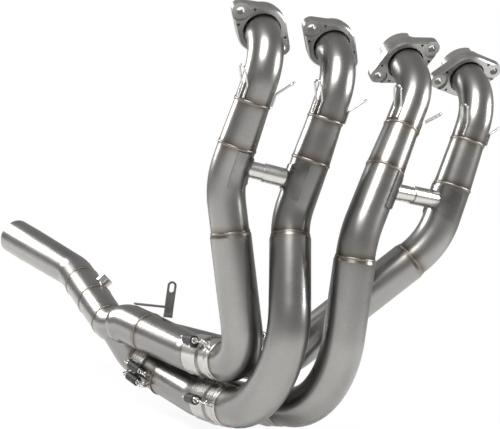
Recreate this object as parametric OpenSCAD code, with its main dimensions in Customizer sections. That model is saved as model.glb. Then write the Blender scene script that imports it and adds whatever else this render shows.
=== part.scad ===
// Four into two into one motorcycle exhaust header, held by loose two bolt flanges.
// X runs along the row of ports, Y runs rearward along the motorcycle, Z is up.
// The origin is the centre of the first port on the outer face of its flange.

/* [Engine ports] */
// Distance between the centres of ports one and two, and of ports three and four
pair_pitch = 82.5; // [82:0.5:85]
// Distance between the centres of the two middle ports
middle_pitch = 93; // [90:0.5:96]
// Slope of the port axes below the horizontal
port_slope = 40; // [38:1:42]

/* [Flanges] */
// Thickness of a flange
flange_t = 12; // [10:0.5:13]
// Radius of the round part of a flange
flange_r = 27; // [26.5:0.5:28]
// Diameter of the circle that the two stud holes lie on
stud_circle_d = 67; // [66:0.5:68]
// Diameter of a stud hole
stud_hole_d = 9; // [8:0.5:10]
// Radius of a flange's ears
ear_r = 9; // [8.5:0.1:9.3]
// Diameter of the seat cut for a nut into the face of an ear
nut_seat_d = 20.6; // [19:0.2:21]
// Depth of the nut seat
nut_seat_depth = 2.5; // [1:0.5:4]
// Chamfer round the outer edge of a flange
flange_chamfer = 1.6; // [0.5:0.1:2]
// Diameter of the small wire holes beside the ears
wire_hole_d = 3; // [2:0.5:3.5]
// Distance of the wire holes from the centre of the port
wire_hole_r = 27.4; // [26.5:0.1:28]
// Radial play between a flange and the neck of its tube
flange_play = 1.75; // [1:0.05:2]
// Gap between a flange and the collar behind it
flange_gap = 0.15; // [0.05:0.05:0.3]

/* [Port collars] */
// Diameter of a collar, which seats in the port
collar_d = 51; // [50:0.5:52]
// Length of the full ring of a collar
collar_ring_l = 5.5; // [4:0.5:7]
// Length of the raised lip of a collar
collar_lip_l = 6.5; // [4:0.5:8]
// Part of the circle that the raised lip covers
collar_lip_angle = 90; // [60:5:120]

/* [Header tubes] */
// Wall of every tube
tube_wall = 1.2; // [1:0.1:1.5]
// Outer diameter at the neck
neck_d = 38.1; // [37:0.1:38.6]
// Outer diameter below the first cone
middle_d = 41.3; // [40:0.1:42]
// Outer diameter of the lower bend
lower_d = 44.5; // [43:0.1:45]
// Height of a weld bead above the tube
bead_h = 0.45; // [0.2:0.05:0.6]
// Width of a weld bead
bead_w = 2.8; // [2:0.1:3.5]

/* [Slip joints] */
// Length from the last weld of a header tube to the end of its socket
joint_l = 60; // [56:1:64]
// Distance from that weld to the mouth of the socket
mouth_at = 27; // [24:1:30]
// Length of spigot inside the socket
spigot_in = 26; // [20:1:27]
// Outer diameter of the spigot
spigot_d = 45.4; // [45:0.1:46]
// Radial clearance of a spigot in its socket
slip_play = 0.08; // [0.05:0.01:0.15]
// Wall of a socket
socket_wall = 1.5; // [1.2:0.1:1.6]

/* [Collectors and outlet] */
// Outer diameter of a collector leg where it leaves its socket
leg_d = 46; // [45.8:0.1:46.5]
// Outer diameter of the pipe after the upper merge
link_d = 50.8; // [50:0.2:51.4]
// Outer diameter of the pipe after the lower merge
low_link_d = 48; // [46.5:0.2:48.4]
// Outer diameter at the end of the last merge
throat_d = 46; // [45:0.5:48]
// Outer diameter at the weld below the outlet bend
outlet_d = 50; // [49:0.5:51]
// Outer diameter of the outlet's end
tail_d = 54.5; // [53:0.5:56]
// Length of the plain cylindrical end of the outlet
tail_plain_l = 45; // [35:5:60]
// Length of the socket of the last slip joint
final_socket_l = 22; // [21:1:23]

/* [Crossover pipes] */
// Outer diameter of the wide half of a crossover
cross_d = 20.4; // [19:0.2:22]
// Wall of a crossover
cross_wall = 1.1; // [0.9:0.1:1.3]
// Thickness of a star shaped saddle
saddle_t = 1.6; // [1:0.1:2]
// Half the length of a saddle between its points
saddle_half_l = 20.5; // [18:0.5:22]
// Half the length of a saddle at its waist
saddle_waist = 13; // [12:0.5:15]

/* [Springs and hooks] */
// Diameter of the wire of the springs and hooks
wire_d = 2.2; // [1.8:0.1:2.4]
// Diameter of a spring under its sleeve
coil_d = 8; // [7:0.5:9]
// Outer diameter of a spring's sleeve
sleeve_d = 11.5; // [10.5:0.5:12]
// Length of a spring's sleeve
sleeve_l = 19; // [14:1:20]
// Radius of the eye at each end of a spring
eye_r = 4.2; // [4:0.1:4.6]
// Distance between the two legs of a wire hook
hook_gap = 8; // [7:0.5:10]
// Length of the legs of a wire hook along the tube
hook_leg_l = 12; // [8:1:14]
// Length of the part of a hook that stands off the tube
hook_reach = 17; // [12:1:20]
// Angle between that part and the tube
hook_rise = 38; // [30:2:50]

/* [Sensor boss and bracket] */
// Outer diameter of the sensor boss
boss_d = 21; // [20:0.5:24]
// Diameter of the sensor boss's hole
boss_hole_d = 16.4; // [16:0.1:17]
// Height of the sensor boss above the outlet
boss_h = 8; // [7:0.5:12]
// Thickness of the bracket's sheet
bracket_t = 2; // [1.5:0.1:2.5]
// Width of the bracket
bracket_w = 12; // [11:0.5:16]
// Width of the slot in the bracket's tab
bracket_slot_w = 6.5; // [5:0.5:7]
// Length of the slot in the bracket's tab
bracket_slot_l = 12; // [8:0.5:14]

/* [Hidden] */
$fn = 48;

titanium = "#8d8a85";
titanium_dark = "#6f6c68";
steel = "#b5b2ad";
silicone = "#1d1d1d";

// Ports, with the way the gas leaves each one
port_x = [0, pair_pitch, pair_pitch + middle_pitch, 2 * pair_pitch + middle_pitch];
gas_way = [0, -cos(port_slope), -sin(port_slope)];
flange_up = [0, -sin(port_slope), cos(port_slope)];

// Each flange is turned about its port by this angle from the X axis
flange_turn = [151.5, 153, 44.7, 24.4];
collar_turn = [300, 300, 138, 138];

// Bend table of each header tube: corners, and the bend radius at each corner
neck_l = [43.9, 47.2, 45.7, 46.5];
middle_corner = [[-16.8, 5.3, -165.3], [-26.3, -13.4, -193.8], [-59.1, -57.2, -202.5], [-30.6, -23.9, -196]];
lower_corner = [[36, 4.4, -356.1], [60.8, -71.6, -397.7], [119.5, -48, -387.8], [86, 30.6, -352.1]];
joint_start = [[26.7, 47.9, -359.8], [40.9, 44, -409.6], [101.9, 43.8, -405.1], [78.9, 64.2, -357.2]];
neck_bend_r = [51, 59, 64, 66];
middle_bend_r = [93, 70, 104, 96];
lower_bend_r = [42, 98, 100, 45];

// Welds, as distances from the neck corner and from the middle corner
cone_start = [52.8, 54.6, 53.8, 49.8];
cone_end = [101, 101, 104, 103];
step_at = [52, 17, 21.5, 31];
// The crossovers meet the tubes at these distances from the neck corner
cross_at = [122.8, 126, 127, 122];

// Corners of the collectors and of the outlet
upper_seam = [-26, 200, -357.6];
upper_corner = [-44.5, 238.6, -353];
lower_seam = [2.9, 196.7, -410.7];
lower_way = unit([-22.1, 42.8, 10.9]);
throat = [-62.9, 280.3, -357.5];
outlet_weld = [-84.3, 400.9, -321.5];
outlet_corner = outlet_weld + unit(outlet_weld - throat) * 43;
outlet_end = [-174.6, 573.6, -272.3];
outlet_bend_r = 60;

function unit(v) = v / norm(v);
function turn_at(a, b, c) = acos(unit(b - a) * unit(c - b));
function trim_at(a, b, c, r) = r * tan(turn_at(a, b, c) / 2);
// Two directions square to a given one, the first of them close to X
function across(u) = unit([1, 0, 0] - u * u[0]);
function athwart(u) = cross(u, across(u));
function around(u, turn) = across(u) * cos(turn) + athwart(u) * sin(turn);

function port(k) = [port_x[k], 0, 0];
function neck_corner(k) = port(k) + gas_way * neck_l[k];
function middle_point(k) = port(k) + middle_corner[k];
function upper_way(k) = unit(middle_point(k) - neck_corner(k));
function middle_way(k) = unit(lower_corner[k] - middle_point(k));
function joint_way(k) = unit(joint_start[k] - lower_corner[k]);
function joint_end(k) = joint_start[k] + joint_way(k) * joint_l;
function cross_point(k) = neck_corner(k) + upper_way(k) * cross_at[k];
function cross_way(k) = unit(cross_point(k % 2 == 0 ? k + 1 : k - 1) - cross_point(k));
function cross_span(k) = norm(cross_point(k % 2 == 0 ? k + 1 : k - 1) - cross_point(k));

outlet_way = unit(outlet_weld - throat);
link_way = unit(upper_corner - upper_seam);
tail_way = unit(outlet_end - outlet_corner);
outlet_half = (throat + outlet_weld) / 2;
outlet_half_d = (throat_d + outlet_d) / 2;
neck_back = flange_t + flange_gap + collar_ring_l + collar_lip_l;
socket_d = spigot_d + 2 * slip_play + 2 * socket_wall;
final_socket_d = low_link_d + 2 * slip_play + 2 * socket_wall;
cross_inner_d = cross_d - 2 * cross_wall - 2 * slip_play;
// A straight leg laps this far into a bend, and is thinner by this step on each side
lap = 0.5;
lap_step = 0.06;
hook_bend_r = 4;
main_r = 60;
side_r = 32;
// Length of the short cone at the start of a lower bend
step_l = 5;
final_mouth = 24;
final_end = final_mouth + final_socket_l;
throat_corner = throat - outlet_way * 14;
main_way = unit(throat_corner - upper_corner);
main_start = upper_corner + main_way * 12;
branch_start = lower_seam + lower_way * final_end;

// Puts a shape's Z axis along u, its X axis along v and its origin at p
module place(p, u, v) {
    w = cross(u, v);
    multmatrix([[v[0], w[0], u[0], p[0]],
                [v[1], w[1], u[1], p[1]],
                [v[2], w[2], u[2], p[2]],
                [0, 0, 0, 1]]) children();
}

module along(p, u) {
    place(p, u, across(u)) children();
}

// Hollow turned piece from p along u: outer and inner are lists of distance and diameter
module turned(p, u, outer, inner) {
    along(p, u) rotate_extrude(convexity = 4)
        polygon(concat([for (o = outer) [o[1] / 2, o[0]]],
                       [for (i = [len(inner) - 1:-1:0]) [inner[i][1] / 2, inner[i][0]]]));
}

// Hollow cone or cylinder between two points, with a weld bead at its start if asked for
module ring_between(p, q, d1, d2, wall, welded = false) {
    length = norm(q - p);
    turned(p, unit(q - p), concat(welded ? bead(d1) : [[0, d1]], [[length, d2]]),
        [[0, d1 - 2 * wall], [length, d2 - 2 * wall]]);
}

// Outline of a weld bead round the start of a tube
function bead(d) = [[0, d], [bead_w * 0.15, d + bead_h], [bead_w * 0.35, d + 2 * bead_h],
                    [bead_w * 0.65, d + 2 * bead_h], [bead_w, d - 0.1]];

// Solid cone or cylinder between two points
module rod_between(p, q, d1, d2) {
    along(p, unit(q - p)) cylinder(h = norm(q - p), d1 = d1, d2 = d2);
}

// Straight leg up the Z axis; with no wall it is solid. It reaches past its ends into a bend
module leg(length, d1, d2, wall, before = 0, after = 0) {
    trim = before + after > 0 ? lap_step : 0;
    outer = [[d1 / 2 - trim, -before], [d1 / 2 - trim, 0], [d2 / 2 - trim, length], [d2 / 2 - trim, length + after]];
    r1 = wall > 0 ? d1 / 2 - wall + trim : 0;
    r2 = wall > 0 ? d2 / 2 - wall + trim : 0;
    rotate_extrude() polygon(concat(outer, [[r2, length + after], [r2, length], [r1, 0], [r1, -before]]));
}

// Carries what follows to the end of a bend from Z toward X
module past_bend(r, turn) {
    translate([r, 0, 0]) rotate([0, turn, 0]) translate([-r, 0, 0]) children();
}

// Round part of a bend
module round_bend(r, turn, d, wall) {
    multmatrix([[-1, 0, 0, r], [0, 0, 1, 0], [0, 1, 0, 0], [0, 0, 0, 1]])
        rotate_extrude(angle = turn, $fn = 96) translate([r, 0]) difference() {
            circle(d = d);
            if (wall > 0) circle(d = d - 2 * wall);
        }
}

// Tube through a list of corners, from leg i on: each leg is drawn in the frame of the one before.
// Each bend has a radius, and each leg has the diameters of its two ends
function way(pts, i) = unit(pts[i + 1] - pts[i]);
function bend_side(pts, i) = unit(way(pts, i) - way(pts, i - 1) * (way(pts, i) * way(pts, i - 1)));
function trim_of(pts, radii, i) = trim_at(pts[i - 1], pts[i], pts[i + 1], radii[i - 1]);

module run_from(pts, radii, ds, wall, i, x) {
    u = way(pts, i);
    bends = i < len(pts) - 2;
    length = norm(pts[i + 1] - pts[i]) - (i > 0 ? trim_of(pts, radii, i) : 0)
        - (bends ? trim_of(pts, radii, i + 1) : 0);
    leg(length, ds[i][0], ds[i][1], wall, i > 0 ? lap : 0, bends ? lap : 0);
    translate([0, 0, length]) {
        if (bends) {
            side = bend_side(pts, i + 1);
            turn = turn_at(pts[i], pts[i + 1], pts[i + 2]);
            rotate(atan2(cross(x, side) * u, x * side)) {
                round_bend(radii[i], turn, ds[i][1], wall);
                past_bend(radii[i], turn)
                    run_from(pts, radii, ds, wall, i + 1, side * cos(turn) - u * sin(turn)) children();
            }
        }
        else children();
    }
}

// Whole tube, with a weld bead round its start if asked for; children continue it
module run(pts, radii, ds, wall, welded = false) {
    side = bend_side(pts, 1);
    place(pts[0], way(pts, 0), side) {
        if (welded) weld_ring(ds[0][0], wall);
        run_from(pts, radii, ds, wall, 0, side) children();
    }
}

module weld_ring(d, wall) {
    rotate_extrude() polygon(concat([[d / 2 - wall / 2, 0]], [for (o = bead(d)) [o[1] / 2, o[0]]],
        [[d / 2 - wall / 2, bead_w]]));
}

// Loose flange
module flange(k) {
    color(titanium) place(port(k), gas_way, [cos(flange_turn[k]), 0, 0] + flange_up * sin(flange_turn[k])) {
        difference() {
            hull() {
                flange_outline(-flange_t, flange_t - flange_chamfer, 0);
                flange_outline(-0.1, 0.1, flange_chamfer);
            }
            translate([0, 0, -flange_t - 1]) cylinder(h = flange_t + 2, r = neck_d / 2 + flange_play, $fn = 72);
            for (s = [-1, 1]) translate([s * stud_circle_d / 2, 0, 0]) {
                translate([0, 0, -flange_t - 1]) cylinder(h = flange_t + 2, d = stud_hole_d);
                translate([0, 0, -nut_seat_depth]) cylinder(h = nut_seat_depth + 1, d = nut_seat_d);
            }
            for (s = [-1, 1], t = [-1, 1]) rotate(90 + s * 90 + t * 26)
                translate([wire_hole_r, 0, -flange_t - 1])
                cylinder(h = flange_t + 2, d = wire_hole_d, $fn = 24);
        }
    }
}

module flange_outline(z, h, inset) {
    translate([0, 0, z]) cylinder(h = h, r = flange_r - inset, $fn = 64);
    for (s = [-1, 1]) translate([s * stud_circle_d / 2, 0, z]) cylinder(h = h, r = ear_r - inset, $fn = 32);
}

// Collar welded to the end of the neck, with a raised lip along part of it
module port_collar(k) {
    back = -flange_t - flange_gap;
    color(titanium_dark) place(port(k), gas_way, [1, 0, 0]) rotate(collar_turn[k] - collar_lip_angle / 2) {
        translate([0, 0, back - collar_ring_l]) rotate_extrude($fn = 72)
            translate([neck_d / 2, 0]) square([(collar_d - neck_d) / 2, collar_ring_l]);
        translate([0, 0, back - collar_ring_l - collar_lip_l]) rotate_extrude(angle = collar_lip_angle, $fn = 72)
            translate([neck_d / 2, 0]) square([(collar_d - neck_d) / 2, collar_lip_l]);
    }
}

module upper_bend(k) {
    back = port(k) - gas_way * neck_back;
    color(titanium) run([back, neck_corner(k), neck_corner(k) + upper_way(k) * cone_start[k]],
        [neck_bend_r[k]], [[neck_d, neck_d], [neck_d, neck_d]], tube_wall);
}

module upper_cone(k) {
    color(titanium) ring_between(neck_corner(k) + upper_way(k) * cone_start[k],
        neck_corner(k) + upper_way(k) * cone_end[k], neck_d, middle_d, tube_wall, true);
}

// Corners of a middle bend, starting the given length after its weld
function middle_pts(k, after) = [neck_corner(k) + upper_way(k) * (cone_end[k] + after), middle_point(k),
    middle_point(k) + middle_way(k) * step_at[k]];

module middle_bend(k) {
    hole_d = cross_inner_d - 2 * cross_wall;
    color(titanium) difference() {
        run(middle_pts(k, 0), [middle_bend_r[k]], [[middle_d, middle_d], [middle_d, middle_d]], tube_wall, true);
        rod_between(cross_point(k), cross_point(k) + cross_way(k) * middle_d, hole_d, hole_d);
    }
}

// Lower bend, which starts with a short cone up to its larger diameter
module lower_bend(k) {
    start = middle_point(k) + middle_way(k) * step_at[k];
    pts = [start + middle_way(k) * step_l, lower_corner[k], joint_start[k]];
    side = bend_side(pts, 1);
    color(titanium) place(start, middle_way(k), side) {
        weld_ring(middle_d, tube_wall);
        leg(step_l, middle_d, lower_d, tube_wall);
        translate([0, 0, step_l])
            run_from(pts, [lower_bend_r[k]], [[lower_d, lower_d], [lower_d, lower_d]], tube_wall, 0, side);
    }
}

// Male end of a header tube, with a rolled bead
module spigot(k) {
    r = spigot_d / 2;
    color(steel) along(joint_start[k], joint_way(k)) rotate_extrude($fn = 72)
        polygon([[r - tube_wall, 0], [r, 0], [r + 0.5, 0.6], [r + 0.5, 2.4], [r, 3], [r, 8], [r + 1.1, 9.5],
                 [r + 1.1, 12], [r, 13.5], [r, mouth_at + spigot_in], [r - tube_wall, mouth_at + spigot_in]]);
}

// Female end of a collector leg, with a rolled mouth
module socket(k) {
    r = spigot_d / 2 + slip_play;
    length = joint_l - mouth_at;
    color(steel) along(joint_start[k] + joint_way(k) * mouth_at, joint_way(k)) rotate_extrude($fn = 72)
        polygon([[r, 0], [r + socket_wall + 0.7, 0], [r + socket_wall + 0.7, 2.5], [r + socket_wall, 3.5],
                 [r + socket_wall, length], [leg_d / 2 - tube_wall, length],
                 [leg_d / 2 - tube_wall, length - 3], [r, length - 5]]);
}

// Star shaped saddle that stiffens the root of a crossover
module saddle(k) {
    u = upper_way(k);
    cut_r = (pow(middle_d / 2, 2) + pow(saddle_half_l - saddle_waist, 2)) / (2 * (saddle_half_l - saddle_waist));
    side = unit(cross_way(k) - u * (cross_way(k) * u));
    saddle_d = middle_d + 2 * saddle_t;
    color(titanium_dark) difference() {
        intersection() {
            run(middle_pts(k, bead_w + 0.3), [middle_bend_r[k]],
                [[saddle_d, saddle_d], [saddle_d, saddle_d]], saddle_t);
            place(cross_point(k), side, u) translate([0, 0, middle_d / 2 + saddle_t + 2])
                cube([2 * saddle_half_l, middle_d + 9, middle_d + 2 * saddle_t], center = true);
        }
        for (s = [-1, 1]) place(cross_point(k), side, u) translate([s * (saddle_waist + cut_r), 0, -5])
            cylinder(h = middle_d, r = cut_r, $fn = 96);
        rod_between(cross_point(k), cross_point(k) + cross_way(k) * middle_d, cross_hole(k), cross_hole(k));
    }
}

function cross_hole(k) = k % 2 == 0 ? cross_inner_d : cross_d;

// Half of a crossover pipe: narrow on tubes one and three, wide on tubes two and four
module crossover(k) {
    narrow = k % 2 == 0;
    reach = narrow ? cross_span(k) / 2 + 2 : cross_span(k) / 2 + 4;
    d = cross_hole(k);
    color(steel) difference() {
        ring_between(cross_point(k) + cross_way(k) * 10, cross_point(k) + cross_way(k) * reach, d, d, cross_wall);
        run(middle_pts(k, 0), [middle_bend_r[k]], [[middle_d, middle_d], [middle_d, middle_d]], 0);
    }
}

// Collector leg from a socket, through a bend and a cone, past its seam; before makes it start earlier
module main_leg(k, seam, seam_way, seam_d, straight, grow, before) {
    e = joint_end(k);
    a = leg_d + grow;
    run([e - joint_way(k) * before, e + joint_way(k) * straight, seam + seam_way * 4], [main_r],
        [[a, a], [a, seam_d + grow]], 0);
}

// Second leg, which runs into the side of the main one
module side_leg(k, seam, seam_way, grow, over) {
    e = joint_end(k);
    a = leg_d + grow;
    run([e - joint_way(k) * over, e + joint_way(k) * 20, seam - seam_way * 22], [side_r],
        [[a, a], [a, a - 1]], 0);
}

module merge(near, far, seam, seam_way, seam_d, straight) {
    color(titanium) difference() {
        union() {
            main_leg(near, seam, seam_way, seam_d, straight, 0, 0);
            side_leg(far, seam, seam_way, 0, 0);
        }
        main_leg(near, seam, seam_way, seam_d, straight, -2 * tube_wall, 1);
        side_leg(far, seam, seam_way, -2 * tube_wall, 1);
        along(seam, seam_way) cylinder(h = 12, d = 2 * seam_d);
    }
}

module upper_merge() {
    merge(0, 3, upper_seam, link_way, link_d, 15);
}

module lower_merge() {
    merge(1, 2, lower_seam, lower_way, low_link_d, 24);
}

module upper_link() {
    color(titanium) difference() {
        run([upper_seam, upper_corner, main_start], [40], [[link_d, link_d], [link_d, link_d]], tube_wall, true);
        final_side(0, 0);
    }
}

module lower_link() {
    color(titanium) ring_between(lower_seam, lower_seam + lower_way * (final_end - 4), low_link_d, low_link_d,
        tube_wall, true);
}

module final_socket() {
    r = low_link_d / 2 + slip_play;
    color(steel) along(lower_seam + lower_way * final_mouth, lower_way) rotate_extrude($fn = 72)
        polygon([[r, 0], [r + socket_wall + 0.7, 0], [r + socket_wall + 0.7, 2.5], [r + socket_wall, 3.5],
                 [r + socket_wall, final_socket_l], [leg_d / 2 - 1, final_socket_l],
                 [leg_d / 2 - 1, final_socket_l - 2], [r, final_socket_l - 3]]);
}

// Last merge: the upper pipe narrows to the throat, and the lower one joins it from below
module final_main(grow, over) {
    a = link_d + grow;
    b = throat_d + grow;
    run([main_start - main_way * over, throat_corner, throat + outlet_way * over], [40], [[a, b], [b, b]], 0);
}

module final_side(grow, over) {
    d = leg_d + 2 + grow;
    run([branch_start - lower_way * over, branch_start + lower_way * 16,
            throat_corner - main_way * 6], [30], [[d, d], [d, throat_d - 3 + grow]], 0);
}

module final_merge() {
    color(titanium) difference() {
        union() {
            final_main(0, 0);
            final_side(0, 0);
        }
        final_main(-2 * tube_wall, 1);
        final_side(-2 * tube_wall, 1);
        rod_between(main_start - main_way * 25, main_start - main_way * 0.05, link_d + 0.4, link_d + 0.4);
    }
}

module outlet_lower() {
    color(titanium) ring_between(throat, outlet_half, throat_d, outlet_half_d, tube_wall, true);
}

module outlet_upper() {
    color(titanium) difference() {
        ring_between(outlet_half, outlet_weld, outlet_half_d, outlet_d, tube_wall, true);
        rod_between(boss_foot(), boss_foot() + boss_way() * outlet_d, boss_hole_d, boss_hole_d);
    }
}

// Outlet bend and tail, which widens to its plain end
module outlet_tail() {
    plain = outlet_end - tail_way * tail_plain_l;
    color(titanium) run([outlet_weld, outlet_corner, plain], [outlet_bend_r],
            [[outlet_d, outlet_d], [outlet_d, tail_d]], tube_wall, true)
        leg(tail_plain_l, tail_d, tail_d, tube_wall);
}

// Threaded boss for the oxygen sensor
function boss_foot() = throat + outlet_way * 89;
function boss_way() = around(outlet_way, -52);

module sensor_boss() {
    color(steel) difference() {
        along(boss_foot(), boss_way()) cylinder(h = outlet_d / 2 + boss_h, d = boss_d);
        along(boss_foot(), boss_way()) cylinder(h = outlet_d / 2 + boss_h + 1, d = boss_hole_d);
        rod_between(outlet_half, outlet_weld, outlet_half_d, outlet_d);
    }
}

// Folded sheet bracket: a strip from the upper pipe, a slotted tab and a strut down to the collector
bracket_root = upper_corner + [4, 0, link_d / 2];
bracket_l = 51;
tab_h = 36;
strut_foot = [-17, 176, -333];

module bracket() {
    strut_from = bracket_root + [bracket_l - bracket_w, -bracket_w / 2 + 0.5, 0];
    color(titanium_dark) difference() {
        union() {
            translate(bracket_root + [0, -bracket_w / 2, 0]) cube([bracket_l, bracket_w, bracket_t]);
            translate(bracket_root + [bracket_l - bracket_w, -bracket_w / 2, 0]) {
                cube([bracket_w, bracket_t, tab_h - bracket_w / 2]);
                translate([bracket_w / 2, 0, tab_h - bracket_w / 2]) rotate([-90, 0, 0])
                    cylinder(h = bracket_t, d = bracket_w);
            }
            place(strut_from, unit(strut_foot - strut_from), [1, 0, 0])
                cube([bracket_w, bracket_t, norm(strut_foot - strut_from)]);
        }
        translate(bracket_root + [bracket_l - bracket_w / 2, -bracket_w / 2 - 1, tab_h - bracket_w / 2]) {
            for (s = [0, 1]) translate([0, 0, -s * (bracket_slot_l - bracket_slot_w)])
                rotate([-90, 0, 0]) cylinder(h = bracket_t + 2, d = bracket_slot_w);
            translate([-bracket_slot_w / 2, 0, -(bracket_slot_l - bracket_slot_w)])
                cube([bracket_slot_w, bracket_t + 2, bracket_slot_l - bracket_slot_w]);
        }
        main_leg(0, upper_seam, link_way, link_d, 15, 0, 0);
        rod_between(upper_seam - link_way, upper_corner + link_way * 30, link_d, link_d);
    }
}

// Wire hook welded to an upper bend: two legs, a rising part and a round end
module wire_hook(k, turn) {
    u = -upper_way(k);
    foot = neck_corner(k) - u * (cone_start[k] - 1.5);
    out = around(upper_way(k), turn);
    place(foot + out * (neck_d / 2 + wire_d / 2 + 0.25), u, out) {
        for (s = [-1, 1]) translate([0, s * hook_gap / 2, 0]) {
            leg(hook_leg_l, wire_d, wire_d, 0, 0, lap);
            translate([0, 0, hook_leg_l]) {
                round_bend(hook_bend_r, hook_rise, wire_d, 0);
                past_bend(hook_bend_r, hook_rise) leg(hook_reach, wire_d, wire_d, 0, lap, lap);
            }
        }
        translate([0, 0, hook_leg_l]) past_bend(hook_bend_r, hook_rise) translate([0, 0, hook_reach])
            rotate([90, 0, 90]) rotate_extrude(angle = 180) translate([hook_gap / 2, 0]) circle(d = wire_d);
    }
}

module wire_hooks() {
    color(steel) for (k = [0:3], turn = [20, 150]) wire_hook(k, turn);
}

// Springs of the slip joints: start, way, turn about it, and the two staples with the radii they stand on
springs = [
    [joint_start[0], joint_way(0), 215, 4.4, spigot_d / 2, joint_l - 4, socket_d / 2],
    [joint_start[1], joint_way(1), 184, 4.4, spigot_d / 2, joint_l - 4, socket_d / 2],
    [joint_start[2], joint_way(2), -20, 4.4, spigot_d / 2, joint_l - 4, socket_d / 2],
    [joint_start[3], joint_way(3), -60, 4.4, spigot_d / 2, joint_l - 4, socket_d / 2],
    [lower_seam, lower_way, 191, 5, low_link_d / 2, final_end - 4, final_socket_d / 2],
    [lower_seam, lower_way, 163, 5, low_link_d / 2, final_end - 4, final_socket_d / 2]];

function spring_r(s) = s[6] + 0.7 + sleeve_d / 2 + 0.5;
function eye_shift() = eye_r - wire_d - 0.3;

module at_spring(s) {
    place(s[0], s[1], around(s[1], s[2])) children();
}

module staple(r, at, h) {
    translate([h - 3, 0, at]) {
        rotate(-90) rotate_extrude(angle = 180) translate([3, 0]) circle(d = wire_d);
        for (y = [-3, 3]) translate([0, y, 0]) rotate([0, -90, 0]) cylinder(h = h - 3 - r - 0.02, d = wire_d);
    }
}

module joint_staples() {
    color(steel) for (s = springs) at_spring(s) {
        staple(s[4], s[3], spring_r(s));
        staple(s[6], s[5], spring_r(s));
    }
}

module joint_springs() {
    color(steel) for (s = springs) at_spring(s) translate([spring_r(s), 0, 0]) {
        low = s[3] + eye_shift();
        high = s[5] - eye_shift();
        for (z = [low, high]) translate([0, 0, z]) rotate([90, 0, 0]) rotate_extrude()
            translate([eye_r, 0]) circle(d = wire_d);
        translate([0, 0, low + eye_r]) cylinder(h = high - low - 2 * eye_r, d = wire_d);
        translate([0, 0, high - eye_r - 1.5 - sleeve_l - 4]) cylinder(h = sleeve_l + 4, d = coil_d);
    }
}

module spring_sleeves() {
    color(silicone) for (s = springs) at_spring(s)
        translate([spring_r(s), 0, s[5] - eye_shift() - eye_r - 1.5 - sleeve_l]) difference() {
            cylinder(h = sleeve_l, d = sleeve_d);
            translate([0, 0, -1]) cylinder(h = sleeve_l + 2, d = coil_d + 0.1);
        }
}

flange(0);  // flange_1
flange(1);  // flange_2
flange(2);  // flange_3
flange(3);  // flange_4
port_collar(0);  // port_collar_1
port_collar(1);  // port_collar_2
port_collar(2);  // port_collar_3
port_collar(3);  // port_collar_4
upper_bend(0);  // upper_bend_1
upper_bend(1);  // upper_bend_2
upper_bend(2);  // upper_bend_3
upper_bend(3);  // upper_bend_4
upper_cone(0);  // upper_cone_1
upper_cone(1);  // upper_cone_2
upper_cone(2);  // upper_cone_3
upper_cone(3);  // upper_cone_4
middle_bend(0);  // middle_bend_1
middle_bend(1);  // middle_bend_2
middle_bend(2);  // middle_bend_3
middle_bend(3);  // middle_bend_4
lower_bend(0);  // lower_bend_1
lower_bend(1);  // lower_bend_2
lower_bend(2);  // lower_bend_3
lower_bend(3);  // lower_bend_4
spigot(0);  // spigot_1
spigot(1);  // spigot_2
spigot(2);  // spigot_3
spigot(3);  // spigot_4
socket(0);  // socket_1
socket(1);  // socket_2
socket(2);  // socket_3
socket(3);  // socket_4
saddle(0);  // saddle_1
saddle(1);  // saddle_2
saddle(2);  // saddle_3
saddle(3);  // saddle_4
crossover(0);  // crossover_1
crossover(1);  // crossover_2
crossover(2);  // crossover_3
crossover(3);  // crossover_4
upper_merge();
lower_merge();
upper_link();
lower_link();
final_socket();
final_merge();
outlet_lower();
outlet_upper();
outlet_tail();
sensor_boss();
bracket();
wire_hooks();
joint_staples();
joint_springs();
spring_sleeves();
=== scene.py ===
"""Looks of the exhaust header: titanium with weld tint, weld ripples, coil springs and the studio."""
import math

import bmesh
import bpy
from bpy.props import FloatProperty, FloatVectorProperty, IntProperty, PointerProperty
from mathutils import Matrix, Vector
from mathutils.bvhtree import BVHTree


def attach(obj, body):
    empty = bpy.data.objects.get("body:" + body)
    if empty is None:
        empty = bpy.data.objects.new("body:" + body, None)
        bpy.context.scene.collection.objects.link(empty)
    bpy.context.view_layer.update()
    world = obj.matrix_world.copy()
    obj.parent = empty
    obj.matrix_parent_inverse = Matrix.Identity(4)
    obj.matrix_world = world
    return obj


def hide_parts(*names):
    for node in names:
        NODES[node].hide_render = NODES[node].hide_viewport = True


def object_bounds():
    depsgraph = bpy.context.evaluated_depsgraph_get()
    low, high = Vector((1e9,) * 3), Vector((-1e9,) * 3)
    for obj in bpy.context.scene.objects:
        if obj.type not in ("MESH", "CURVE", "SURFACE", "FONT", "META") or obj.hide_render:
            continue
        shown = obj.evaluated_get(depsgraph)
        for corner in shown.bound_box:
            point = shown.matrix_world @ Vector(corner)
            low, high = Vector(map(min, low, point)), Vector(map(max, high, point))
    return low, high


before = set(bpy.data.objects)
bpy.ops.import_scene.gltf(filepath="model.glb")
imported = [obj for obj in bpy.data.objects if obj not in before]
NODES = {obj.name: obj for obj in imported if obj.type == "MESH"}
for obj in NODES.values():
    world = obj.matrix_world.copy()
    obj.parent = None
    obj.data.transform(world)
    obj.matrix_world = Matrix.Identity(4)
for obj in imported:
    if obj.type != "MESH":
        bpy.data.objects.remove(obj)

bl_info = {
    "name": "Exhaust header looks",
    "version": (1, 0, 0),
    "blender": (4, 5, 0),
    "location": "View3D > Sidebar > Header",
    "description": "Finishes a motorcycle exhaust header and sets up its studio",
    "category": "Object",
}

CAD_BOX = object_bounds()

# Points this close to the next tube, or to the plane of a seam, count as lying on it
CONTACT = 0.0004
# Spare room round a tube's box when its neighbour's points are picked
MARGIN = 0.0005

# Wound springs: points per turn, radius of an eye, and where the coil starts from the sleeve's middle
TURN_STEPS = 14
EYE = 0.0042
COIL_START = -0.0125

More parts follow.
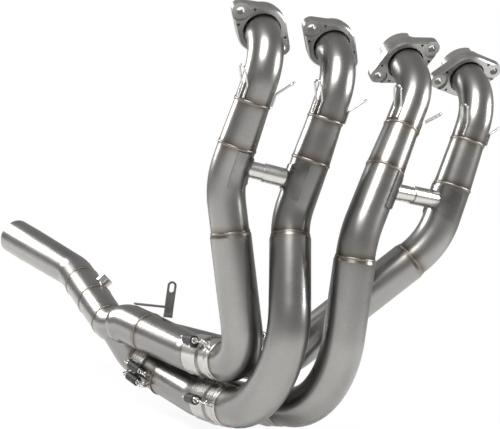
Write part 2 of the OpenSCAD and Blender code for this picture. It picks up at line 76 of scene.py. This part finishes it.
# Room under the object, above the floor
FLOOR_GAP = 0.012

# Name, place, size and power of each lamp
LAMPS = [
    ("key", (-0.7, -0.9, 1.1), 0.8, 34.0),
    ("side", (1.3, -0.5, 0.35), 0.5, 14.0),
    ("rim", (-0.9, 0.9, 0.3), 0.5, 12.0)]

# Pairs of nodes that are welded end to end: the second one starts at the seam
TUBE_SEAMS = [pair for k in "1234" for pair in (
    (f"upper_bend_{k}", f"upper_cone_{k}"), (f"upper_cone_{k}", f"middle_bend_{k}"),
    (f"middle_bend_{k}", f"lower_bend_{k}"), (f"lower_bend_{k}", f"spigot_{k}"))]
COLLECTOR_SEAMS = [
    ("upper_merge", "upper_link"), ("lower_merge", "lower_link"),
    ("final_merge", "outlet_lower"), ("outlet_lower", "outlet_upper"), ("outlet_upper", "outlet_tail"),
    ("socket_1", "upper_merge"), ("socket_4", "upper_merge"), ("socket_2", "lower_merge"),
    ("socket_3", "lower_merge"), ("final_socket", "final_merge")]


# Shader maths

class Wire:
    """A socket that can be used in Python sums: each operator adds its Math node."""

    def __init__(self, tree, socket):
        self.tree = tree
        self.socket = socket

    def math(self, operation, *others):
        values = [self] + list(others)
        return self.tree.node("ShaderNodeMath", {"operation": operation}, dict(enumerate(values)))

    def __add__(self, other):
        return self.math("ADD", other)

    def __radd__(self, other):
        return self.math("ADD", other)

    def __sub__(self, other):
        return self.math("SUBTRACT", other)

    def __rsub__(self, other):
        return self.tree.node("ShaderNodeMath", {"operation": "SUBTRACT"}, {0: other, 1: self})

    def __mul__(self, other):
        return self.math("MULTIPLY", other)

    def __rmul__(self, other):
        return self.math("MULTIPLY", other)

    def __truediv__(self, other):
        return self.math("DIVIDE", other)

    def clamp(self):
        return self.tree.node("ShaderNodeMath", {"operation": "ADD", "use_clamp": True}, {0: self, 1: 0.0})


class Tree:
    """Node tree of one material."""

    def __init__(self, name):
        self.material = bpy.data.materials.new(name)
        self.material.use_nodes = True
        self.nodes = self.material.node_tree.nodes
        self.links = self.material.node_tree.links
        self.shader = self.nodes["Principled BSDF"]

    def node(self, kind, settings, inputs, output=0):
        """Adds a node: its settings come first, then the values or links of its sockets."""
        made = self.nodes.new(kind)
        for key, value in settings.items():
            if key == "stops":
                self.set_stops(made.color_ramp, value)
            else:
                setattr(made, key, value)
        for key, value in inputs.items():
            if isinstance(value, Wire):
                self.links.new(value.socket, made.inputs[key])
            else:
                made.inputs[key].default_value = value
        return Wire(self, made.outputs[output])

    def set_stops(self, ramp, stops):
        while len(ramp.elements) < len(stops):
            ramp.elements.new(1.0)
        for element, (place, colour) in zip(ramp.elements, stops):
            element.position = place
            element.color = (*colour, 1.0)

    def place(self):
        """Object coordinates, which are the frame's own."""
        return self.node("ShaderNodeTexCoord", {}, {}, "Object")

    def noise(self, scale, detail=3.0, stretch=(1.0, 1.0, 1.0)):
        mapped = self.node("ShaderNodeMapping", {}, {"Vector": self.place(), "Scale": stretch})
        return self.node("ShaderNodeTexNoise", {}, {"Vector": mapped, "Scale": scale, "Detail": detail}, "Fac")

    def mix(self, factor, low, high):
        return self.node("ShaderNodeMix", {"data_type": "RGBA"},
                         {0: factor, 6: low if isinstance(low, Wire) else (*low, 1.0),
                          7: high if isinstance(high, Wire) else (*high, 1.0)}, 2)

    def feed(self, **sockets):
        names = {"base_color": "Base Color", "roughness": "Roughness", "metallic": "Metallic",
                 "normal": "Normal", "specular": "Specular IOR Level"}
        for key, value in sockets.items():
            socket = self.shader.inputs[names[key]]
            if isinstance(value, Wire):
                self.links.new(value.socket, socket)
            else:
                socket.default_value = value

    def bump(self, height, strength, distance):
        return self.node("ShaderNodeBump", {}, {"Height": height, "Strength": strength, "Distance": distance})

    def distance_to(self, point):
        """Distance of the shaded point from a fixed point, in metres."""
        return self.node("ShaderNodeVectorMath", {"operation": "DISTANCE"},
                         {0: self.place(), 1: tuple(point)}, "Value")

    def height_over(self, point, way):
        """Distance of the shaded point from the plane through a fixed point, in metres."""
        moved = self.node("ShaderNodeVectorMath", {"operation": "SUBTRACT"},
                          {0: self.place(), 1: tuple(point)})
        along = self.node("ShaderNodeVectorMath", {"operation": "DOT_PRODUCT"},
                          {0: moved, 1: tuple(way)}, "Value")
        return along.math("ABSOLUTE")


# Places read from the frame

class Seam:
    """Ring where two tubes meet: its centre, its way into the second tube, and its outer radius."""

    def __init__(self, before, after):
        self.names = (before, after)
        other = bmesh.new()
        other.from_mesh(NODES[before].data)
        surface = BVHTree.FromBMesh(other)
        other.free()
        first = [v.co.copy() for v in NODES[before].data.vertices]
        low = [min(p[i] for p in first) - MARGIN for i in range(3)]
        high = [max(p[i] for p in first) + MARGIN for i in range(3)]
        own = [v.co.copy() for v in NODES[after].data.vertices]
        close = [p for p in own if all(low[i] < p[i] < high[i] for i in range(3))]
        ring = [p for p in close if surface.find_nearest(p, CONTACT)[0] is not None]
        if len(ring) < 12:
            raise RuntimeError(f"{before} and {after} share no seam")
        self.centre, self.way = plane_of(ring)
        if (sum(own, Vector()) / len(own) - self.centre).dot(self.way) < 0:
            self.way = -self.way
        inner = max((p - self.centre).length for p in ring)
        facing = [p - self.centre for p in first]
        outer = max([d.length for d in facing if abs(d.dot(self.way)) < CONTACT and d.length < inner * 1.3],
                    default=inner)
        self.radius = (inner + outer) / 2


SEAMS = {}


def seam_of(pair):
    """The seam of a pair of nodes, found once."""
    if pair not in SEAMS:
        SEAMS[pair] = Seam(*pair)
    return SEAMS[pair]


def plane_of(points):
    """Centre and normal of a flat ring of points."""
    unique = list({tuple(round(c, 6) for c in p): p for p in points}.values())
    middle = sum(unique, Vector()) / len(unique)
    far = max(unique, key=lambda p: (p - middle).length)
    side = (far - middle).normalized()
    across = max(unique, key=lambda p: side.cross(p - middle).length)
    way = side.cross(across - middle).normalized()
    flat = [p for p in unique if abs((p - middle).dot(way)) < 0.001]
    return sum(flat, Vector()) / len(flat) if flat else middle, way


def solids_of(node):
    """Points of each separate solid of a node."""
    mesh = bmesh.new()
    mesh.from_mesh(NODES[node].data)
    bmesh.ops.remove_doubles(mesh, verts=mesh.verts, dist=1e-6)
    left = set(mesh.verts)
    groups = []
    while left:
        group, front = set(), [left.pop()]
        while front:
            vert = front.pop()
            group.add(vert)
            near = [e.other_vert(vert) for e in vert.link_edges]
            front += [v for v in near if v in left]
            left.difference_update(near)
        groups.append([v.co.copy() for v in group])
    mesh.free()
    return groups


def axis_of(points):
    """Centre and way of a slim turned solid."""
    centre = sum(points, Vector()) / len(points)
    far = max(points, key=lambda p: (p - centre).length)
    way = (far - centre).normalized()
    for _ in range(12):
        way = sum(((p - centre) * (p - centre).dot(way) for p in points), Vector()).normalized()
    return centre, way


def frame_along(centre, way, side=None):
    """Matrix that puts Z along way at centre, with X toward side."""
    side = side or Vector((1, 0, 0)) if abs(way.x) < 0.9 else Vector((0, 1, 0))
    x = (side - way * side.dot(way)).normalized()
    y = way.cross(x)
    turn = Matrix((x, y, way)).transposed().to_4x4()
    return Matrix.Translation(centre) @ turn


# Mesh pieces

def piece_from(mesh, name, body, material):
    """Makes a finished mesh a smooth object that rides on a body."""
    bmesh.ops.remove_doubles(mesh, verts=mesh.verts, dist=1e-7)
    bmesh.ops.recalc_face_normals(mesh, faces=mesh.faces)
    for face in mesh.faces:
        face.smooth = True
    data = bpy.data.meshes.new(name)
    mesh.to_mesh(data)
    mesh.free()
    made = bpy.data.objects.new(name, data)
    bpy.context.scene.collection.objects.link(made)
    made.data.materials.append(material)
    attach(made, body)
    return made


def merge_into(mesh, part):
    """Adds a small mesh to a larger one, which is quicker than building it there."""
    data = bpy.data.meshes.new("part")
    part.to_mesh(data)
    part.free()
    mesh.from_mesh(data)
    bpy.data.meshes.remove(data)


def add_ripple(mesh, seam, width, height, pitch):
    """Ring of overlapping weld ripples round a seam."""
    count = max(12, round(2 * math.pi * seam.radius / pitch))
    part = bmesh.new()
    profile = bmesh.ops.create_circle(part, segments=8, radius=1.0)["verts"]
    for vert in profile:
        vert.co = Vector((seam.radius + vert.co.x * height, 0, vert.co.y * width / 2))
    bmesh.ops.spin(part, geom=part.edges[:], cent=(0, 0, 0), axis=(0, 0, 1), angle=2 * math.pi,
                   steps=count * 4, use_merge=True)
    for vert in part.verts:
        angle = math.atan2(vert.co.y, vert.co.x)
        phase = (angle * count / (2 * math.pi) - abs(vert.co.z) / width * 0.6) % 1.0
        swell = 0.30 * math.sin(math.pi * phase)
        r = math.hypot(vert.co.x, vert.co.y)
        grown = r + (r - seam.radius) * swell
        vert.co.x *= grown / r
        vert.co.y *= grown / r
        vert.co.z *= 1 + 0.16 * math.sin(math.pi * phase)
    middle = seam.centre + seam.way * width * 0.38
    bmesh.ops.transform(part, matrix=frame_along(middle, seam.way), verts=part.verts[:])
    merge_into(mesh, part)


def add_rod(mesh, matrix, points, radius, segments, closed=False):
    """Round wire through points, in the frame of matrix."""
    count = len(points)
    part = bmesh.new()
    rings = []
    for i, point in enumerate(points):
        after = points[(i + 1) % count] if closed or i < count - 1 else point
        before = points[i - 1] if closed or i > 0 else point
        way = (after - before).normalized()
        ring = bmesh.ops.create_circle(part, segments=segments, radius=radius)["verts"]
        bmesh.ops.transform(part, matrix=matrix @ wire_frame(point, way), verts=ring)
        rings.append(ring)
    for i in range(count if closed else count - 1):
        loop_a = [part.edges.get((rings[i][j], rings[i][(j + 1) % segments])) for j in range(segments)]
        following = rings[(i + 1) % count]
        loop_b = [part.edges.get((following[j], following[(j + 1) % segments])) for j in range(segments)]
        bmesh.ops.bridge_loops(part, edges=loop_a + loop_b)
    if not closed:
        for ring in (rings[0], rings[-1]):
            bmesh.ops.contextual_create(part, geom=ring)
    merge_into(mesh, part)


def wire_frame(point, way):
    """Matrix of one ring of a wire, across its way."""
    side = Vector((0, 0, 1)) if abs(way.z) < 0.8 else Vector((1, 0, 0))
    x = (side - way * side.dot(way)).normalized()
    return Matrix.Translation(point) @ Matrix((x, way.cross(x), way)).transposed().to_4x4()


# Finishes

def tube_metal(name, seams, look):
    """Brushed titanium with straw and brown tint beside each weld."""
    tree = Tree(name)
    grain = tree.noise(look.grain_scale, 4.0)
    patches = tree.noise(22.0, 3.0)
    body = tree.mix(patches, look.titanium_dark, look.titanium)
    body = tree.mix((grain * 0.5).clamp(), body, look.titanium_bright)
    for seam in seams:
        away = tree.height_over(seam.centre, seam.way)
        near = tree.distance_to(seam.centre)
        reach = look.tint_reach * (0.8 + 0.4 * patches)
        band = (1.0 - away / reach).clamp()
        here = (1.0 - (near - seam.radius * 1.15) / (seam.radius * 0.4)).clamp()
        tint = tree.node("ShaderNodeValToRGB", {"stops": [
            (0.0, look.titanium), (0.35, look.straw), (0.7, look.tint), (0.9, look.tint_dark)]}, {0: band})
        body = tree.mix((band * here * 0.85).clamp(), body, tint)
    smudge = tree.noise(60.0, 5.0)
    rough = (look.roughness + 0.10 * (patches - 0.5) + 0.12 * (smudge - 0.5)).clamp()
    tree.feed(base_color=body, metallic=1.0, roughness=rough,
              normal=tree.bump(grain, 0.12, 0.0002))
    return tree.material


def plain_metal(name, dark, bright, roughness, grain_scale=900.0, strength=0.15):
    """Bare metal in patches of two greys, with fine grain."""
    tree = Tree(name)
    grain = tree.noise(grain_scale, 4.0)
    patches = tree.noise(45.0, 4.0)
    tree.feed(base_color=tree.mix(patches, dark, bright), metallic=1.0,
              roughness=(roughness + 0.18 * (patches - 0.5)).clamp(),
              normal=tree.bump(grain, strength, 0.0002))
    return tree.material


def silicone(name, look):
    """Black silicone with a little dust."""
    tree = Tree(name)
    grain = tree.noise(1400.0, 3.0)
    dust = tree.noise(120.0, 4.0)
    tree.feed(base_color=tree.mix(dust, look.sleeve, tuple(c * 1.7 for c in look.sleeve)), metallic=0.0,
              roughness=(0.5 + 0.2 * (dust - 0.5)).clamp(), normal=tree.bump(grain, 0.2, 0.0001))
    return tree.material


def dress(node, material):
    """Gives a CAD node its material."""
    mesh = NODES[node].data
    mesh.materials.clear()
    mesh.materials.append(material)


# Settings

class HeaderLook(bpy.types.PropertyGroup):
    """Sizes and colours that a user may change."""
    titanium: FloatVectorProperty(name="Titanium", description="Main colour of the tubes",
                                  subtype="COLOR", size=3, default=(0.27, 0.265, 0.255))
    titanium_dark: FloatVectorProperty(name="Titanium, dark", description="Dull patches of the tubes",
                                       subtype="COLOR", size=3, default=(0.185, 0.181, 0.174))
    titanium_bright: FloatVectorProperty(name="Titanium, bright", description="Bright grain of the tubes",
                                         subtype="COLOR", size=3, default=(0.40, 0.393, 0.378))
    straw: FloatVectorProperty(name="Straw tint", description="Light heat tint away from a weld",
                               subtype="COLOR", size=3, default=(0.27, 0.24, 0.20))
    tint: FloatVectorProperty(name="Brown tint", description="Heat tint beside a weld",
                              subtype="COLOR", size=3, default=(0.17, 0.138, 0.108))
    tint_dark: FloatVectorProperty(name="Dark tint", description="Heat tint at a weld",
                                   subtype="COLOR", size=3, default=(0.10, 0.088, 0.078))
    sleeve: FloatVectorProperty(name="Sleeve", description="Colour of the spring sleeves",
                                subtype="COLOR", size=3, default=(0.012, 0.012, 0.012))
    tint_reach: FloatProperty(name="Tint reach", description="How far the heat tint spreads from a weld",
                              default=0.013, unit="LENGTH")
    roughness: FloatProperty(name="Roughness", description="Roughness of the tubes", default=0.30)
    grain_scale: FloatProperty(name="Grain scale", description="Fineness of the brushed grain", default=700.0)


class HeaderWelds(bpy.types.PropertyGroup):
    """Sizes of the weld ripples."""
    width: FloatProperty(name="Width", description="Width of a weld", default=0.0028, unit="LENGTH")
    height: FloatProperty(name="Height", description="Height of a weld", default=0.0006, unit="LENGTH")
    pitch: FloatProperty(name="Pitch", description="Distance between ripples", default=0.0019, unit="LENGTH")


class HeaderSprings(bpy.types.PropertyGroup):
    """Sizes of the joint springs."""
    wire: FloatProperty(name="Wire", description="Diameter of the spring wire", default=0.0016, unit="LENGTH")
    coil: FloatProperty(name="Coil", description="Diameter of the coil", default=0.0078, unit="LENGTH")
    turns: IntProperty(name="Turns", description="Turns of the coil", default=13)


class HeaderStage(bpy.types.PropertyGroup):
    """Camera and lamps."""
    lens: FloatProperty(name="Lens", description="Focal length", default=61.1, unit="CAMERA")
    sensor: FloatProperty(name="Sensor", description="Sensor width", default=36.0, unit="CAMERA")
    eye: FloatVectorProperty(name="Eye", description="Place of the camera", size=3, subtype="XYZ",
                             default=(-0.2905, -0.8505, -0.2134))
    forward: FloatVectorProperty(name="Forward", description="Way the camera looks", size=3, subtype="XYZ",
                                 default=(0.3379, 0.9409, 0.0205))
    up: FloatVectorProperty(name="Up", description="Upward way of the camera", size=3, subtype="XYZ",
                            default=(-0.1361, 0.0273, 0.9903))
    white: FloatProperty(name="White", description="Strength of the background seen", default=1.0)


# Operators

class HEADER_OT_tubes(bpy.types.Operator):
    """Gives each tube its titanium and the tint of its own welds"""
    bl_idname = "header.tubes"
    bl_label = "Finish the tubes"

    def execute(self, context):
        look = context.scene.header_look
        seams = [seam_of(pair) for pair in TUBE_SEAMS + COLLECTOR_SEAMS]
        families = ("upper_bend", "upper_cone", "middle_bend", "lower_bend", "upper_merge", "lower_merge",
                    "upper_link", "lower_link", "final_merge", "outlet")
        for node in NODES:
            if node.startswith(families):
                own = [s for s in seams if node in s.names]
                dress(node, tube_metal(node + "_metal", own, look))
        return {"FINISHED"}


class HEADER_OT_machined(bpy.types.Operator):
    """Gives the turned, cut and folded pieces their metal"""
    bl_idname = "header.machined"
    bl_label = "Finish the machined pieces"

    def execute(self, context):
        look = context.scene.header_look
        flange = plain_metal("flange_metal", (0.30, 0.295, 0.285), (0.43, 0.423, 0.41), 0.34)
        turned = plain_metal("turned_metal", (0.42, 0.41, 0.39), (0.58, 0.565, 0.54), 0.26)
        sheet = plain_metal("sheet_metal", tuple(look.titanium_dark), tuple(look.titanium), 0.42)
        saddle = plain_metal("saddle_metal", (0.07, 0.068, 0.065), (0.33, 0.325, 0.315), 0.28)
        wire = plain_metal("wire_metal", (0.42, 0.41, 0.39), (0.60, 0.585, 0.56), 0.25)
        for node in NODES:
            if node.startswith("flange"):
                dress(node, flange)
            elif node.startswith(("port_collar", "spigot", "socket", "final_socket", "sensor_boss")):
                dress(node, turned)
            elif node.startswith("saddle"):
                dress(node, saddle)
            elif node.startswith("crossover"):
                dress(node, turned)
            elif node == "bracket":
                dress(node, sheet)
            elif node.startswith(("wire_hooks", "joint_staples", "joint_springs")):
                dress(node, wire)
        return {"FINISHED"}


class HEADER_OT_welds(bpy.types.Operator):
    """Lays the ripples of every weld between two tubes"""
    bl_idname = "header.welds"
    bl_label = "Lay the welds"

    def execute(self, context):
        size = context.scene.header_welds
        metal = plain_metal("weld_metal", (0.13, 0.115, 0.10), (0.30, 0.28, 0.255), 0.32, 500.0, 0.2)
        groups = {"tube_welds": TUBE_SEAMS, "collector_welds": COLLECTOR_SEAMS}
        for name, pairs in groups.items():
            mesh = bmesh.new()
            for pair in pairs:
                add_ripple(mesh, seam_of(pair), size.width, size.height, size.pitch)
            piece_from(mesh, name, "pipes", metal)
        return {"FINISHED"}


class HEADER_OT_springs(bpy.types.Operator):
    """Winds the joint springs, with their eyes and twisted shanks, in place of the plain ones"""
    bl_idname = "header.springs"
    bl_label = "Wind the springs"

    def execute(self, context):
        size = context.scene.header_springs
        sleeves = [axis_of(points) for points in solids_of("spring_sleeves")]
        bodies = solids_of("joint_springs")
        metal = plain_metal("spring_metal", (0.50, 0.49, 0.47), (0.72, 0.71, 0.69), 0.22)
        mesh = bmesh.new()
        for centre, way in sleeves:
            own = min(bodies, key=lambda b: (sum(b, Vector()) / len(b) - centre).length)
            self.wind(mesh, size, centre, way, own)
        made = piece_from(mesh, "wound_springs", "pipes", metal)
        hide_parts("joint_springs")
        dress("spring_sleeves", silicone("sleeve_silicone", context.scene.header_look))
        return {"FINISHED"}

    def wind(self, mesh, size, centre, way, own):
        """One spring: its coil, twisted shank, two eyes and the tip between coil and eye."""
        heights = [(p - centre).dot(way) for p in own]
        low, high = min(heights), max(heights)
        if abs(low) < abs(high):
            way, low, high = -way, -high, -low
        ends = [p for p in own if (p - centre).dot(way) < low + 0.009]
        wide = max(ends, key=lambda p: (p - centre - way * (p - centre).dot(way)).length)
        matrix = frame_along(centre, way, (wide - centre).normalized())
        wire = size.wire / 2
        last = high - 2 * EYE - 0.0025
        steps = size.turns * TURN_STEPS
        helix = []
        for i in range(steps + 1):
            angle = 2 * math.pi * i / TURN_STEPS
            z = COIL_START + (last - COIL_START) * i / steps
            taper = min(1.0, 0.45 + i / 20, 0.45 + (steps - i) / 20)
            r = (size.coil / 2 - wire) * taper
            helix.append(Vector((r * math.cos(angle), r * math.sin(angle), z)))
        add_rod(mesh, matrix, helix, wire, 6)
        foot = low + 2 * EYE
        length = COIL_START - foot
        for side in (0, math.pi):
            twist = [Vector((wire * 0.95 * math.cos(side + t * 9), wire * 0.95 * math.sin(side + t * 9),
                             foot + length * t)) for t in [j / 30 for j in range(31)]]
            add_rod(mesh, matrix, twist, wire, 6)
        for middle in (low + EYE + 0.0011, high - EYE - 0.0011):
            ring = [Vector((EYE * math.cos(a), 0, middle + EYE * math.sin(a)))
                    for a in [2 * math.pi * j / 28 for j in range(28)]]
            add_rod(mesh, matrix, ring, wire * 1.2, 8, closed=True)
        tip = [Vector((0, 0, last - 0.001)), Vector((0, 0, high - 2 * EYE - 0.0006))]
        add_rod(mesh, matrix, tip, wire, 6)


class HEADER_OT_stage(bpy.types.Operator):
    """Sets up the camera, the floor, the lamps and the white surroundings"""
    bl_idname = "header.stage"
    bl_label = "Set the stage"

    def execute(self, context):
        stage = context.scene.header_stage
        self.camera(context, stage)
        self.floor(stage)
        self.world(context, stage)
        for lamp in LAMPS:
            self.lamp(*lamp)
        context.scene.view_settings.view_transform = "Standard"
        return {"FINISHED"}

    def camera(self, context, stage):
        data = bpy.data.cameras.new("camera")
        data.lens = stage.lens
        data.sensor_width = stage.sensor
        made = bpy.data.objects.new("camera", data)
        context.scene.collection.objects.link(made)
        back = -Vector(stage.forward).normalized()
        right = Vector(stage.up).cross(back).normalized()
        up = back.cross(right)
        made.matrix_world = Matrix.Translation(stage.eye) @ Matrix((right, up, back)).transposed().to_4x4()
        context.scene.camera = made

    def floor(self, stage):
        low = CAD_BOX[0].z - FLOOR_GAP
        mesh = bmesh.new()
        bmesh.ops.create_grid(mesh, x_segments=1, y_segments=1, size=8.0,
                              matrix=Matrix.Translation((0.1, 0.2, low)))
        data = bpy.data.meshes.new("floor")
        mesh.to_mesh(data)
        mesh.free()
        made = bpy.data.objects.new("floor", data)
        bpy.context.scene.collection.objects.link(made)
        tree = Tree("floor_white")
        tree.feed(base_color=(0.9, 0.9, 0.9, 1.0), roughness=0.9, specular=0.0)
        glow = tree.node("ShaderNodeEmission", {}, {"Color": (1, 1, 1, 1), "Strength": stage.white})
        path = tree.nodes.new("ShaderNodeLightPath")
        seen = Wire(tree, path.outputs["Is Camera Ray"])
        far = ((tree.distance_to((0.05, 0.25, low)) - 0.2) / 0.6).clamp()
        mixed = tree.node("ShaderNodeMixShader", {},
                          {0: (seen * (0.92 + far * 0.08)).clamp(),
                           1: Wire(tree, tree.shader.outputs[0]), 2: glow})
        tree.links.new(mixed.socket, tree.nodes["Material Output"].inputs["Surface"])
        made.data.materials.append(tree.material)

    def world(self, context, stage):
        world = bpy.data.worlds.new("studio")
        context.scene.world = world
        world.use_nodes = True
        nodes, links = world.node_tree.nodes, world.node_tree.links
        back = nodes["Background"]
        back.inputs["Color"].default_value = (1, 1, 1, 1)
        path = nodes.new("ShaderNodeLightPath")
        strength = nodes.new("ShaderNodeMapRange")
        strength.inputs["To Min"].default_value = 0.4
        strength.inputs["To Max"].default_value = stage.white
        links.new(path.outputs["Is Camera Ray"], strength.inputs["Value"])
        links.new(strength.outputs[0], back.inputs["Strength"])

    def lamp(self, name, place, size, power):
        data = bpy.data.lights.new(name, "AREA")
        data.size = size
        data.energy = power
        made = bpy.data.objects.new(name, data)
        bpy.context.scene.collection.objects.link(made)
        place = Vector(place)
        aim = (CAD_BOX[0] + CAD_BOX[1]) / 2 - place
        made.matrix_world = Matrix.Translation(place) @ aim.to_track_quat("-Z", "Y").to_matrix().to_4x4()


class HEADER_PT_panel(bpy.types.Panel):
    """Lists the steps in the sidebar"""
    bl_label = "Exhaust header"
    bl_idname = "HEADER_PT_panel"
    bl_space_type = "VIEW_3D"
    bl_region_type = "UI"
    bl_category = "Header"

    def draw(self, context):
        for step in STEPS:
            self.layout.operator(step)
        for group in ("header_look", "header_welds", "header_springs", "header_stage"):
            for name in getattr(context.scene, group).bl_rna.properties.keys():
                if name not in ("rna_type", "name"):
                    self.layout.prop(getattr(context.scene, group), name)


STEPS = ["header.tubes", "header.machined", "header.welds", "header.springs", "header.stage"]
CLASSES = [HeaderLook, HeaderWelds, HeaderSprings, HeaderStage, HEADER_OT_tubes, HEADER_OT_machined,
           HEADER_OT_welds, HEADER_OT_springs, HEADER_OT_stage, HEADER_PT_panel]


def register():
    for cls in CLASSES:
        bpy.utils.register_class(cls)
    bpy.types.Scene.header_look = PointerProperty(type=HeaderLook)
    bpy.types.Scene.header_welds = PointerProperty(type=HeaderWelds)
    bpy.types.Scene.header_springs = PointerProperty(type=HeaderSprings)
    bpy.types.Scene.header_stage = PointerProperty(type=HeaderStage)


def unregister():
    for group in ("header_look", "header_welds", "header_springs", "header_stage"):
        delattr(bpy.types.Scene, group)
    for cls in reversed(CLASSES):
        bpy.utils.unregister_class(cls)


def main():
    register()
    bpy.ops.header.tubes()
    bpy.ops.header.machined()
    bpy.ops.header.welds()
    bpy.ops.header.springs()
    bpy.ops.header.stage()


if __name__ == "__main__":
    main()
